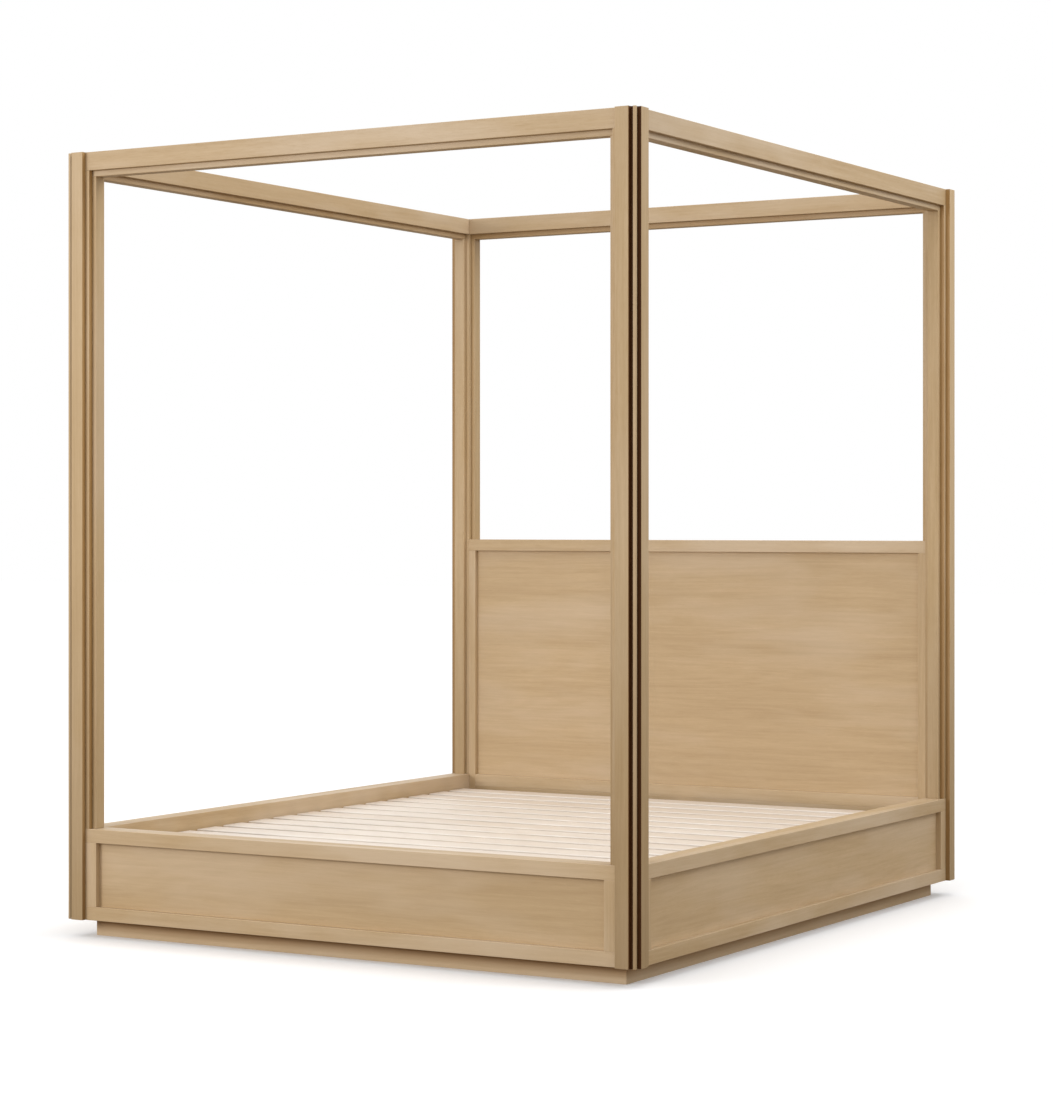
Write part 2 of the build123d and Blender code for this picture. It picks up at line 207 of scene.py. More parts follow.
def drill(solid, bores):
    """The same solid with round holes cut in it, one radius after another."""
    for size in sorted({radius for _, _, radius, _, _ in bores}):
        cutter = bmesh.new()
        for start, direction, radius, depth, over in bores:
            if radius != size:
                continue
            middle = start + direction * (depth - over) / 2
            turn = direction.to_track_quat("Z", "Y").to_matrix().to_4x4()
            bmesh.ops.create_cone(cutter, cap_ends=True, segments=HOLE_SIDES, radius1=radius,
                                  radius2=radius, depth=depth + over,
                                  matrix=Matrix.Translation(middle) @ turn)
        drilled = cut_away(mesh_of(solid, "blank"), mesh_of(cutter, "cutter"))
        solid = bmesh.new()
        solid.from_mesh(drilled)
        bmesh.ops.remove_doubles(solid, verts=solid.verts, dist=WELD)
    if solid.faces.layers.float.get("worn") is None:
        solid.faces.layers.float.new("worn")
    return solid


def riser_painted_shade(face, risers):
    """How much painted shade a face gets, darkening it where shade falls: on the narrow risers between
    two steps, and on the inward side of the canopy's lips."""
    if risers <= 0.0 or abs(face.normal.z) > 0.5:
        return 0.0
    middle = face.calc_center_median()
    from_end = half_length - abs(middle.y)
    from_side = half_width - abs(middle.x)
    along_x = abs(face.normal.x) > 0.9
    along_y = abs(face.normal.y) > 0.9
    riser_x = along_x and from_end < LIP_OUTER + CLOSE
    riser_y = along_y and from_side < LIP_OUTER + CLOSE
    if riser_x or riser_y:
        return risers
    inward_x = along_x and abs(from_side - LIP_INNER) < 2 * CLOSE
    inward_y = along_y and abs(from_end - LIP_INNER) < 2 * CLOSE
    if middle.z > canopy_lip_bottom and (inward_x or inward_y):
        return LIP_PAINTED_SHADE_SHARE * risers
    return 0.0


def board_mesh(name, prisms, grain, round_over=EDGE, notch_corner=None, risers=0.0):
    """One mesh from (outline, low, high, bores) prisms, with the attributes that the wood reads.

    place: position along the grain and across it, moved apart for every board
    tone:  light or dark board
    worn:  eased edges
    slot:  painted shade, 1 on the walls of a post's corner notch, less on a riser between two steps
    """
    global board_count
    whole = bmesh.new()
    place = whole.verts.layers.float_vector.new("place")
    tone = whole.faces.layers.float.new("tone")
    worn = whole.faces.layers.float.new("worn")
    slot = whole.faces.layers.float.new("slot")
    across = [axis for axis in range(3) if axis != grain]
    for outline, low, high, *rest in prisms:
        board_count += 1
        number = board_count
        solid = make_prism(outline, low, high, round_over)
        if rest and rest[0]:
            solid = drill(solid, rest[0])
        eased = solid.faces.layers.float["worn"]
        twins = {}
        for vert in solid.verts:
            twin = whole.verts.new(vert.co)
            twin[place] = [vert.co[axis] + shift * number
                           for axis, shift in zip((grain, *across), BOARD_SHIFT)]
            twins[vert] = twin
        for face in solid.faces:
            copy = whole.faces.new([twins[vert] for vert in face.verts])
            copy[tone] = math.sin(TONE_SPIN * number) * 0.5
            copy[worn] = face[eased]
            copy[slot] = riser_painted_shade(face, risers)
            # painted shade: the walls inside a post's corner notch get slot 1, which the wood turns near
            # black
            if notch_corner is not None:
                middle = face.calc_center_median()
                dx = abs(middle.x - notch_corner[0])
                dy = abs(middle.y - notch_corner[1])
                inside = max(dx, dy) < NOTCH + HAIR and min(dx, dy) > CLOSE
                if inside and abs(face.normal.z) < 0.5:
                    copy[slot] = 1.0
        solid.free()
    whole.normal_update()
    return mesh_of(whole, name)


def add_piece(name, mesh, material, replaced):
    piece = bpy.data.objects.new(name, mesh)
    bpy.context.scene.collection.objects.link(piece)
    mesh.materials.clear()
    mesh.materials.append(material)
    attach(piece, "root")
    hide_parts(*replaced)
    return piece


def board(node, prisms, grain, material, slot_name="oak", **choices):
    """A wooden piece in place of the CAD node of the same name."""
    mesh = board_mesh(node + "_wood", prisms, grain, **choices)
    return add_piece(node + "_wood", mesh, material, [node])


# =====================================================================================
# Shader groups
# =====================================================================================
def new_group(name, inputs, outputs):
    tree = bpy.data.node_groups.new(name, "ShaderNodeTree")
    for label, kind, value in inputs:
        socket = tree.interface.new_socket(label, in_out="INPUT", socket_type=kind)
        if value is not None:
            socket.default_value = value
    for label, kind in outputs:
        tree.interface.new_socket(label, in_out="OUTPUT", socket_type=kind)
    return tree, tree.nodes.new("NodeGroupInput"), tree.nodes.new("NodeGroupOutput")


class Wiring:
    """Short ways to add nodes to one tree."""

    def __init__(self, tree):
        self.tree = tree

    def join(self, source, target):
        self.tree.links.new(source, target)

    def feed(self, socket, value):
        if isinstance(value, bpy.types.NodeSocket):
            self.join(value, socket)
        else:
            socket.default_value = value

    def math(self, operation, first, second=0.0, clamp=False):
        node = self.tree.nodes.new("ShaderNodeMath")
        node.operation = operation
        node.use_clamp = clamp
        self.feed(node.inputs[0], first)
        self.feed(node.inputs[1], second)
        return node.outputs[0]

    def noise(self, vector, scale, detail=2.0, roughness=0.5):
        """Noise with a scale of its own for each axis."""
        stretch = self.tree.nodes.new("ShaderNodeMapping")
        self.join(vector, stretch.inputs["Vector"])
        stretch.inputs["Scale"].default_value = scale
        node = self.tree.nodes.new("ShaderNodeTexNoise")
        self.join(stretch.outputs[0], node.inputs["Vector"])
        node.inputs["Scale"].default_value = 1.0
        node.inputs["Detail"].default_value = detail
        node.inputs["Roughness"].default_value = roughness
        return node.outputs["Fac"]

    def remap(self, value, low, high, to_low=0.0, to_high=1.0):
        node = self.tree.nodes.new("ShaderNodeMapRange")
        self.feed(node.inputs["Value"], value)
        self.feed(node.inputs["From Min"], low)
        self.feed(node.inputs["From Max"], high)
        self.feed(node.inputs["To Min"], to_low)
        self.feed(node.inputs["To Max"], to_high)
        return node.outputs["Result"]

    def mix(self, factor, first, second, blend="MIX"):
        node = self.tree.nodes.new("ShaderNodeMix")
        node.data_type = "RGBA"
        node.blend_type = blend
        self.feed(node.inputs["Factor"], factor)
        self.feed(node.inputs[6], first)
        self.feed(node.inputs[7], second)
        return node.outputs[2]

    def attribute(self, name, output="Fac"):
        node = self.tree.nodes.new("ShaderNodeAttribute")
        node.attribute_name = name
        return node.outputs[output]

    def object_place(self):
        return self.tree.nodes.new("ShaderNodeTexCoord").outputs["Object"]

    def bump(self, height, strength, distance):
        node = self.tree.nodes.new("ShaderNodeBump")
        node.inputs["Strength"].default_value = strength
        node.inputs["Distance"].default_value = distance
        self.join(height, node.inputs["Height"])
        return node.outputs["Normal"]

    def group(self, tree, values):
        """A shader group, with each named socket fed."""
        node = self.tree.nodes.new("ShaderNodeGroup")
        node.node_tree = tree
        for label, value in values.items():
            self.feed(node.inputs[label], value)
        return node


def make_grain_group():
    """Straight grain: broad bands, growth lines, a figured face, pores, pale flecks and a thin wash."""
    tree, inner, outer = new_group("Oak grain", [
        ("Place", "NodeSocketVector", None),
        ("Tone", "NodeSocketFloat", 0.0),
        ("Light wood", "NodeSocketColor", (0.6, 0.45, 0.3, 1)),
        ("Dark wood", "NodeSocketColor", (0.4, 0.27, 0.15, 1)),
        ("Band strength", "NodeSocketFloat", 0.5),
        ("Line strength", "NodeSocketFloat", 0.5),
        ("Figure strength", "NodeSocketFloat", 0.0),
        ("Pore strength", "NodeSocketFloat", 0.3),
        ("Wash", "NodeSocketFloat", 0.0),
        ("Wash colour", "NodeSocketColor", (0.66, 0.54, 0.41, 1)),
    ], [("Colour", "NodeSocketColor"), ("Roughness", "NodeSocketFloat"), ("Height", "NodeSocketFloat")])
    w = Wiring(tree)
    place = inner.outputs["Place"]
    drift = w.noise(place, (0.9, 5.0, 5.0), detail=2.0)
    shift = tree.nodes.new("ShaderNodeCombineXYZ")
    sideways = w.math("MULTIPLY", w.math("SUBTRACT", drift, 0.5), 0.045)
    w.join(sideways, shift.inputs["Y"])
    w.join(sideways, shift.inputs["Z"])
    bent = tree.nodes.new("ShaderNodeVectorMath")
    bent.operation = "ADD"
    w.join(place, bent.inputs[0])
    w.join(shift.outputs[0], bent.inputs[1])
    bent = bent.outputs[0]
    bands = w.remap(w.noise(bent, (0.5, 16.0, 16.0), detail=3.0, roughness=0.55), 0.3, 0.7)
    lines = w.remap(w.noise(bent, (3.2, 120.0, 120.0), detail=4.0, roughness=0.65), 0.32, 0.68)
    hills = w.noise(bent, (0.75, 6.5, 6.5), detail=2.0, roughness=0.45)
    rings = w.math("SINE", w.math("MULTIPLY", hills, 95.0))
    figure = w.remap(rings, -1.0, 1.0)
    pores = w.remap(w.noise(place, (26.0, 820.0, 820.0), detail=2.0), 0.54, 0.68)
    flecks = w.remap(w.noise(place, (40.0, 240.0, 240.0), detail=1.0), 0.62, 0.74)
    total = w.math("MULTIPLY", w.math("SUBTRACT", bands, 0.5), inner.outputs["Band strength"])
    total = w.math("ADD", total, w.math("MULTIPLY", w.math("SUBTRACT", lines, 0.5),
                                        inner.outputs["Line strength"]))
    total = w.math("ADD", total, w.math("MULTIPLY", w.math("SUBTRACT", figure, 0.5),
                                        inner.outputs["Figure strength"]))
    total = w.math("ADD", total, w.math("MULTIPLY", inner.outputs["Tone"], 0.28))
    total = w.math("ADD", total, w.math("MULTIPLY", flecks, 0.10))
    total = w.math("ADD", total, 0.5, clamp=True)
    colour = w.mix(total, inner.outputs["Dark wood"], inner.outputs["Light wood"])
    pored = w.math("MULTIPLY", pores, inner.outputs["Pore strength"])
    colour = w.mix(pored, colour, inner.outputs["Dark wood"])
    cloud = w.remap(w.noise(place, (1.3, 4.5, 4.5), detail=3.0, roughness=0.55), 0.44, 0.66)
    washed = w.math("MULTIPLY", cloud, inner.outputs["Wash"])
    colour = w.mix(washed, colour, inner.outputs["Wash colour"])
    w.join(colour, outer.inputs["Colour"])
    rough = w.math("ADD", w.math("MULTIPLY", lines, -0.08), w.math("MULTIPLY", pores, 0.16))
    w.join(w.math("ADD", rough, 0.52), outer.inputs["Roughness"])
    height = w.math("ADD", w.math("MULTIPLY", lines, 0.5), w.math("MULTIPLY", pores, -0.8))
    w.join(height, outer.inputs["Height"])
    return tree


def make_wear_group():
    """Edges go paler and smoother with wear; painted shade darkens risers and slots, and a painted shade
    fades with height.
    """
    tree, inner, outer = new_group("Worn edges and painted shade", [
        ("Colour", "NodeSocketColor", (0.5, 0.5, 0.5, 1)),
        ("Roughness", "NodeSocketFloat", 0.5),
        ("Place", "NodeSocketVector", None),
        ("Worn", "NodeSocketFloat", 0.0),
        ("Slot", "NodeSocketFloat", 0.0),
        ("Worn colour", "NodeSocketColor", (0.7, 0.56, 0.4, 1)),
        ("Painted slot shade", "NodeSocketColor", (0.085, 0.028, 0.004, 1)),
        ("Wear", "NodeSocketFloat", 0.5),
        ("Painted shade tint", "NodeSocketColor", (0.69, 0.52, 0.25, 1)),
        ("Height", "NodeSocketFloat", 1.0),
        ("Shade from", "NodeSocketFloat", 0.0),
        ("Shade to", "NodeSocketFloat", 1.2),
        ("Shade", "NodeSocketFloat", 0.0),
        ("Shade colour", "NodeSocketColor", (0.3, 0.25, 0.2, 1)),
    ], [("Colour", "NodeSocketColor"), ("Roughness", "NodeSocketFloat")])
    w = Wiring(tree)
    patchy = w.remap(w.noise(inner.outputs["Place"], (6.0, 30.0, 30.0), detail=3.0), 0.35, 0.65,
                     0.35, 1.0)
    worn = w.math("MULTIPLY", w.math("MULTIPLY", inner.outputs["Worn"], patchy), inner.outputs["Wear"])
    colour = w.mix(worn, inner.outputs["Colour"], inner.outputs["Worn colour"])
    # painted shade that fades with height: darker near the floor on the posts, darker under the skirt on
    # the plinth
    fade = w.remap(inner.outputs["Height"], inner.outputs["Shade from"], inner.outputs["Shade to"],
                   1.0, 0.0)
    shaded = w.math("MULTIPLY", fade, inner.outputs["Shade"])
    colour = w.mix(shaded, colour, inner.outputs["Shade colour"], "MULTIPLY")
    # painted shade: risers take a warm dark tint, and notch walls go near black
    painted_riser_shade = w.remap(inner.outputs["Slot"], 0.0, 0.4)
    colour = w.mix(painted_riser_shade, colour, inner.outputs["Painted shade tint"], "MULTIPLY")
    colour = w.mix(w.remap(inner.outputs["Slot"], 0.45, 1.0), colour, inner.outputs["Painted slot shade"])
    w.join(colour, outer.inputs["Colour"])
    smoother = w.math("SUBTRACT", inner.outputs["Roughness"], w.math("MULTIPLY", worn, 0.12))
    w.join(smoother, outer.inputs["Roughness"])
    return tree


oak_grain = make_grain_group()
wear_and_painted_shade = make_wear_group()


def new_material(name):
    material = bpy.data.materials.new(name)
    material.use_nodes = True
    material.node_tree.nodes.clear()
    w = Wiring(material.node_tree)
    surface = material.node_tree.nodes.new("ShaderNodeBsdfPrincipled")
    output = material.node_tree.nodes.new("ShaderNodeOutputMaterial")
    w.join(surface.outputs[0], output.inputs["Surface"])
    return material, w, surface


# shade, shade_from, shade_to and shade_colour set a painted shade that fades with height
def wood_material(name, light, dark, worn, bands, lines, pores, figure=0.0, wash=0.0, wear=0.5,
                  bump=0.15, shade=0.0, shade_from=0.0, shade_to=1.2, shade_colour=(1, 1, 1, 1)):
    material, w, surface = new_material(name)
    place = w.attribute("place", "Vector")
    grain = w.group(oak_grain, {
        "Place": place, "Tone": w.attribute("tone"), "Light wood": light, "Dark wood": dark,
        "Band strength": bands, "Line strength": lines, "Figure strength": figure,
        "Pore strength": pores, "Wash": wash})
    split = material.node_tree.nodes.new("ShaderNodeSeparateXYZ")
    w.join(w.object_place(), split.inputs[0])
    finish = w.group(wear_and_painted_shade, {
        "Colour": grain.outputs["Colour"], "Roughness": grain.outputs["Roughness"], "Place": place,
        "Worn": w.attribute("worn"), "Slot": w.attribute("slot"), "Worn colour": worn, "Wear": wear,
        "Height": split.outputs["Z"], "Shade": shade, "Shade from": shade_from,
        "Shade to": shade_to, "Shade colour": shade_colour})
    w.join(finish.outputs["Colour"], surface.inputs["Base Color"])
    w.join(finish.outputs["Roughness"], surface.inputs["Roughness"])
    w.join(w.bump(grain.outputs["Height"], bump, 0.0006), surface.inputs["Normal"])
    surface.inputs["Specular IOR Level"].default_value = 0.35
    surface.inputs["Coat Weight"].default_value = 0.06
    surface.inputs["Coat Roughness"].default_value = 0.45
    return material


WORN_OAK = (0.640, 0.490, 0.320, 1)
SOLID_OAK = {"bands": 0.38, "lines": 0.32, "pores": 0.28}
oak = wood_material("Washed oak", (0.560, 0.408, 0.240, 1), (0.405, 0.272, 0.135, 1), WORN_OAK,
                    wash=0.45, **SOLID_OAK)
# painted shade: posts, beads and jambs go darker towards the floor, where less light reaches them
post_oak_painted_shade = wood_material("Washed oak posts, painted shade low down", (0.560, 0.402, 0.224, 1), (0.400, 0.264, 0.120, 1),
                         WORN_OAK, wash=0.24, shade=0.42, shade_colour=(0.30, 0.25, 0.19, 1),
                         **SOLID_OAK)
# painted light and shade: a paler colour stands in for light bounced off the floor, and a painted shade
# darkens the top under the skirt
plinth_oak_painted_light_shade = wood_material("Washed oak plinth, painted bounce light and shade", (0.700, 0.520, 0.330, 1), (0.540, 0.375, 0.205, 1),
                           (0.720, 0.560, 0.380, 1), wash=0.30, shade=1.0,
                           shade_from=skirt_low - 0.007, shade_to=0.010,
                           shade_colour=(0.46, 0.29, 0.10, 1), **SOLID_OAK)
oak_panel = wood_material("Washed oak veneer", (0.575, 0.415, 0.240, 1), (0.415, 0.282, 0.145, 1),
                          WORN_OAK, bands=0.34, lines=0.34, figure=0.10, pores=0.28, wash=0.28)
slat_pine = wood_material("Planed slat wood", (0.785, 0.700, 0.615, 1), (0.690, 0.575, 0.465, 1),
                          (0.860, 0.800, 0.730, 1), bands=0.50, lines=0.30, pores=0.08, wear=1.0,
                          bump=0.10)


def steel_material():
    """Zinc-plated steel with fine brushing and dull patches."""
    material, w, surface = new_material("Zinc plated steel")
    where = w.object_place()
    brushing = w.noise(where, (60.0, 60.0, 2400.0), detail=3.0)
    patches = w.noise(where, (70.0, 70.0, 70.0), detail=4.0, roughness=0.6)
    colour = w.mix(patches, (0.42, 0.43, 0.45, 1), (0.66, 0.66, 0.64, 1))
    w.join(colour, surface.inputs["Base Color"])
    rough = w.math("ADD", w.remap(patches, 0.3, 0.7, 0.26, 0.42), w.math("MULTIPLY", brushing, 0.08))
    w.join(rough, surface.inputs["Roughness"])
    w.join(w.bump(brushing, 0.1, 0.0002), surface.inputs["Normal"])
    surface.inputs["Metallic"].default_value = 1.0
    return material


def nylon_material():
    """Moulded black nylon with a fine matt texture."""
    material, w, surface = new_material("Moulded nylon")
    where = w.object_place()
    spark = w.noise(where, (900.0, 900.0, 900.0), detail=2.0)
    dust = w.noise(where, (45.0, 45.0, 45.0), detail=4.0)
    colour = w.mix(w.remap(dust, 0.45, 0.75), (0.022, 0.022, 0.024, 1), (0.075, 0.070, 0.065, 1))
    w.join(colour, surface.inputs["Base Color"])
    w.join(w.remap(spark, 0.3, 0.7, 0.45, 0.62), surface.inputs["Roughness"])
    w.join(w.bump(spark, 0.2, 0.0002), surface.inputs["Normal"])
    return material


def webbing_material():
    """Undyed cotton webbing: a twill weave with some fuzz."""
    material, w, surface = new_material("Cotton webbing")
    where = w.object_place()
    threads = []
    for direction, scale, distortion in (("X", 260.0, 0.6), ("DIAGONAL", 190.0, 0.8)):
        wave = material.node_tree.nodes.new("ShaderNodeTexWave")
        wave.bands_direction = direction
        wave.inputs["Scale"].default_value = scale
        wave.inputs["Distortion"].default_value = distortion
        w.join(where, wave.inputs["Vector"])
        threads.append(wave.outputs["Fac"])
    weave = w.math("MULTIPLY", *threads)
    fuzz = w.noise(where, (400.0, 90.0, 400.0), detail=3.0)
    shade = w.math("ADD", w.math("MULTIPLY", weave, 0.7), w.math("MULTIPLY", fuzz, 0.4))
    w.join(w.mix(shade, (0.50, 0.44, 0.34, 1), (0.78, 0.73, 0.62, 1)), surface.inputs["Base Color"])
    w.join(w.remap(fuzz, 0.3, 0.7, 0.78, 0.95), surface.inputs["Roughness"])
    w.join(w.bump(weave, 0.6, 0.0004), surface.inputs["Normal"])
    surface.inputs["Sheen Weight"].default_value = 0.3
    return material


steel = steel_material()
nylon = nylon_material()
webbing = webbing_material()

# =====================================================================================
# Holes for the joints: studs run level from post to rail, and a barrel nut grips each one
# =====================================================================================
STUD_HOLE = 0.0042
NUT_HOLE = 0.0072
NUT_HALF = 0.009
STUD_IN_POST = 0.021
STUD_DEPTH = {"canopy": 0.0425, "rail": 0.0575, "stile": 0.0425}
STUD_REACH = {"canopy": 0.042, "rail": 0.042, "stile": 0.034}
NUT_COVER = 0.012
canopy_stud_level = (canopy_bottom + canopy_top) / 2
STUD_LEVELS = {"foot": (0.130, 0.190), "right": (0.155, 0.215), "head": (0.130, 0.640, 1.140),
               "left": (0.155, 0.215)}


def low_kind(side):
    return "stile" if side == "head" else "rail"


def levels_of(side, kind):
    return (canopy_stud_level,) if kind == "canopy" else STUD_LEVELS[side]


def way_on(side, along, depth):
    """Level direction: along a side, or inwards."""
    _, run, inward, _ = SIDES[side]
    return (run[0] * along + inward[0] * depth, run[1] * along + inward[1] * depth, 0.0)


def rail_bores(side, kind, ends=(0, 1)):
    """Stud and barrel nut holes in a rail or stile, for one end or both."""
    span = span_of(side)
    bores = []
    for end in ends:
        joint, way = ((POST, 1), (span - POST, -1))[end]
        nut_along = joint + way * (STUD_REACH[kind] - NUT_COVER)
        for level in levels_of(side, kind):
            depth = STUD_DEPTH[kind]
            start = (*on_plan(side, joint, depth), level)
            bores.append(bore(start, way_on(side, way, 0), STUD_HOLE, STUD_REACH[kind] + 0.001))
            if kind == "canopy":
                mouth = (*on_plan(side, nut_along, depth), canopy_top)
                bores.append(bore(mouth, (0, 0, -1), NUT_HOLE, canopy_top - level + NUT_HALF))
            elif kind == "rail":
                mouth = (*on_plan(side, nut_along, FRAME_INNER), level)
                bores.append(bore(mouth, way_on(side, 0, -1), NUT_HOLE, FRAME_INNER - depth + NUT_HALF))
            else:
                mouth = (*on_plan(side, nut_along, STEP), level)
                bores.append(bore(mouth, way_on(side, 0, 1), NUT_HOLE, depth - STEP + NUT_HALF))
    return bores


SIDE_BEFORE = {"foot": "left", "right": "foot", "head": "right", "left": "head"}


def post_bores(side):
    """Stud holes from both sides that meet at a side's start post."""
    bores = []
    before = SIDE_BEFORE[side]
    for owner, joint, way in ((side, POST, -1), (before, span_of(before) - POST, 1)):
        for kind in ("canopy", low_kind(owner)):
            for level in levels_of(owner, kind):
                start = (*on_plan(owner, joint, STUD_DEPTH[kind]), level)
                bores.append(bore(start, way_on(owner, way, 0), STUD_HOLE, STUD_IN_POST))
    return bores


LEDGER_SCREWS = 6
LEDGER_SCREW_MARGIN = 0.160
LEDGER_SCREW_RISE = 0.012
LEDGER_INNER = 0.115
LEDGER_END = 0.090
SCREW_HOLE = 0.0024
HEAD_HOLE = 0.0046
HEAD_DEPTH = 0.003
HOLE_IN_RAIL = 0.026
HOLE_IN_LEDGER = 0.019
THROUGH_LEDGER = 0.032
THROUGH_SLAT = 0.022
ledger_low, ledger_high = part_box("slat_ledgers")
ledger_screw_level = ledger_low[2] + LEDGER_SCREW_RISE


def ledger_screw_places(side):
    run = span_of(side) - 2 * LEDGER_SCREW_MARGIN
    return [LEDGER_SCREW_MARGIN + run * number / (LEDGER_SCREWS - 1) for number in range(LEDGER_SCREWS)]


def ledger_pilot_bores(side):
    if side == "foot":
        return []
    return [bore((*on_plan(side, along, FRAME_INNER), ledger_screw_level), way_on(side, 0, -1),
                 SCREW_HOLE, HOLE_IN_RAIL) for along in ledger_screw_places(side)]


# =====================================================================================
# Posts and canopy
# =====================================================================================
# strength of the painted shade on risers between two steps and on the inward side of the lips
RISER_PAINTED_SHADE = 0.30
for side in SIDES:
    span = span_of(side)
    post = START_POST[side]
    bead_inner = BEAD_SETBACK + BEAD
    section = outline_on(side, [
        (NOTCH, 0), (POST, 0), (POST, STEP), (POST, POST), (STEP, POST), (0, POST), (0, NOTCH),
        (STEP, NOTCH), (STEP, bead_inner), (bead_inner, bead_inner), (bead_inner, STEP), (NOTCH, STEP)])
    board("post_" + post, [(section, skirt_low, canopy_top, post_bores(side))], 2, post_oak_painted_shade,
          round_over=SOFT_EDGE, notch_corner=on_plan(side, 0, 0), risers=RISER_PAINTED_SHADE)
    bead_section = rectangle_on(side, BEAD_SETBACK, bead_inner, BEAD_SETBACK, bead_inner)
    board("corner_bead_" + post, [(bead_section, skirt_low, canopy_top)], 2, post_oak_painted_shade)
    board("canopy_rail_" + side, [(mitred_on(side, STEP, FRAME_INNER), canopy_bottom, canopy_top,
                                    rail_bores(side, "canopy"))], GRAIN_ALONG[side], oak)
    board("canopy_lip_" + side,
          [(rectangle_on(side, FRAME_INNER, span - FRAME_INNER, LIP_OUTER, LIP_INNER),
            canopy_lip_bottom, canopy_bottom)], GRAIN_ALONG[side], oak, risers=RISER_PAINTED_SHADE)
    jamb_low = headboard_top if side == "head" else skirt_top
    near_strip = [(POST, STEP), (FRAME_INNER, STEP), (FRAME_INNER, LIP_OUTER), (FRAME_INNER, LIP_INNER),
                  (FRAME_INNER, FRAME_INNER), (POST, POST)]
    far_strip = [(span - along, depth) for along, depth in reversed(near_strip)]
    lip_end = FRAME_INNER + LIP_WIDTH
    board("jambs_" + side, [
        (outline_on(side, near_strip), jamb_low, canopy_bottom),
        (outline_on(side, far_strip), jamb_low, canopy_bottom),
        (rectangle_on(side, FRAME_INNER, lip_end, LIP_OUTER, LIP_INNER), jamb_low, canopy_lip_bottom),
        (rectangle_on(side, span - lip_end, span - FRAME_INNER, LIP_OUTER, LIP_INNER),
         jamb_low, canopy_lip_bottom)], 2, post_oak_painted_shade, risers=RISER_PAINTED_SHADE)

# =====================================================================================
# Skirts, bed rails and plinth
# =====================================================================================
member_end = POST + MEMBER


def panel_on(side, depth):
    """Outline of a panel between stiles, a little clear of what lies before and behind it."""
    return rectangle_on(side, member_end, span_of(side) - member_end, depth + HAIR,
                        depth + PANEL - HAIR)


for side in SIDES:
    span = span_of(side)
    grain = GRAIN_ALONG[side]
    full_width = rectangle_on(side, POST, span - POST, STEP, SKIRT_FRAME_INNER)
    board("skirt_bottom_rail_" + side, [(full_width, skirt_low, panel_low)], grain, oak)
    board("plinth_board_" + side,
          [(outline_on(side, [(POST, POST), (span - POST, POST), (span - PLINTH_INNER, PLINTH_INNER),
                              (PLINTH_INNER, PLINTH_INNER)]), 0.0, plinth_top)], grain, plinth_oak_painted_light_shade)
    if side == "head":
        continue
    board("skirt_top_rail_" + side, [(full_width, panel_high, skirt_top)], grain, oak)
    board("skirt_stiles_" + side, [
        (rectangle_on(side, POST, member_end, STEP, SKIRT_FRAME_INNER), panel_low, panel_high),
        (rectangle_on(side, span - member_end, span - POST, STEP, SKIRT_FRAME_INNER),
         panel_low, panel_high)], 2, oak)
    board("skirt_panel_" + side, [(panel_on(side, SKIRT_PANEL_DEPTH), panel_low, panel_high)],
          grain, oak_panel, round_over=PANEL_EDGE)
    board("bed_rail_" + side, [(mitred_on(side, SKIRT_FRAME_INNER, FRAME_INNER), plinth_top, skirt_top,
                                rail_bores(side, "rail") + ledger_pilot_bores(side))], grain, oak)

head_span = span_of("head")
board("bed_rail_head",
      [(rectangle_on("head", member_end, head_span - member_end, SKIRT_FRAME_INNER, FRAME_INNER),
        plinth_top, panel_high)], 0, oak)
BLOCK = 0.045
block_end = PLINTH_INNER + BLOCK
board("plinth_corner_blocks",
      [(rectangle_on(side, PLINTH_INNER, block_end, PLINTH_INNER, block_end), 0.0, plinth_top)
       for side in SIDES], 2, slat_pine)

# =====================================================================================
# Headboard
# =====================================================================================
upper_high = headboard_top - MEMBER
near_stile = [(POST, STEP), (member_end, STEP), (member_end, FRAME_INNER), (FRAME_INNER, FRAME_INNER),
              (POST, POST)]
far_stile = [(head_span - along, depth) for along, depth in reversed(near_stile)]
board("headboard_stiles", [
    (outline_on("head", near_stile), plinth_top, upper_high, rail_bores("head", "stile", (0,))),
    (outline_on("head", far_stile), plinth_top, upper_high, rail_bores("head", "stile", (1,)))], 2, oak)
board("headboard_top_rail", [(mitred_on("head", STEP, FRAME_INNER), upper_high, headboard_top)], 0, oak)
mid_rail = rectangle_on("head", member_end, head_span - member_end, STEP, FRAME_INNER)
board("headboard_mid_rail", [(mid_rail, panel_high, skirt_top)], 0, oak)
for node, depth, low, high in (("headboard_front_panel", FRONT_PANEL_DEPTH, skirt_top, upper_high),
                               ("headboard_back_panel", BACK_PANEL_DEPTH, skirt_top, upper_high),
                               ("headboard_lower_panel", SKIRT_PANEL_DEPTH, panel_low, panel_high)):
    board(node, [(panel_on("head", depth), low, high)], 0, oak_panel, round_over=PANEL_EDGE)

# =====================================================================================
# Slats and what carries them
# =====================================================================================
SLAT_COUNT = 15
SLAT_WIDTH = 0.100
SLAT_SHIFT = (2.3, 0.71)
SCREW_HEAD = 0.0044
SCREW_SHANK = 0.0022
SLAT_SCREW = 0.038
LEDGER_SCREW = 0.055
STRAP_HALF = 0.0125
STRAP_THICK = 0.0016
STRAP_SAG = 0.0045
STRAP_STEPS = 8
slats_low, slats_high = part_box("slats")
slat_pitch = (slats_high[1] - slats_low[1] - SLAT_WIDTH) / (SLAT_COUNT - 1)
screws_low, screws_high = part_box("slat_screws")
screw_across = (screws_high[0] - screws_low[0]) / 2 - SCREW_HEAD


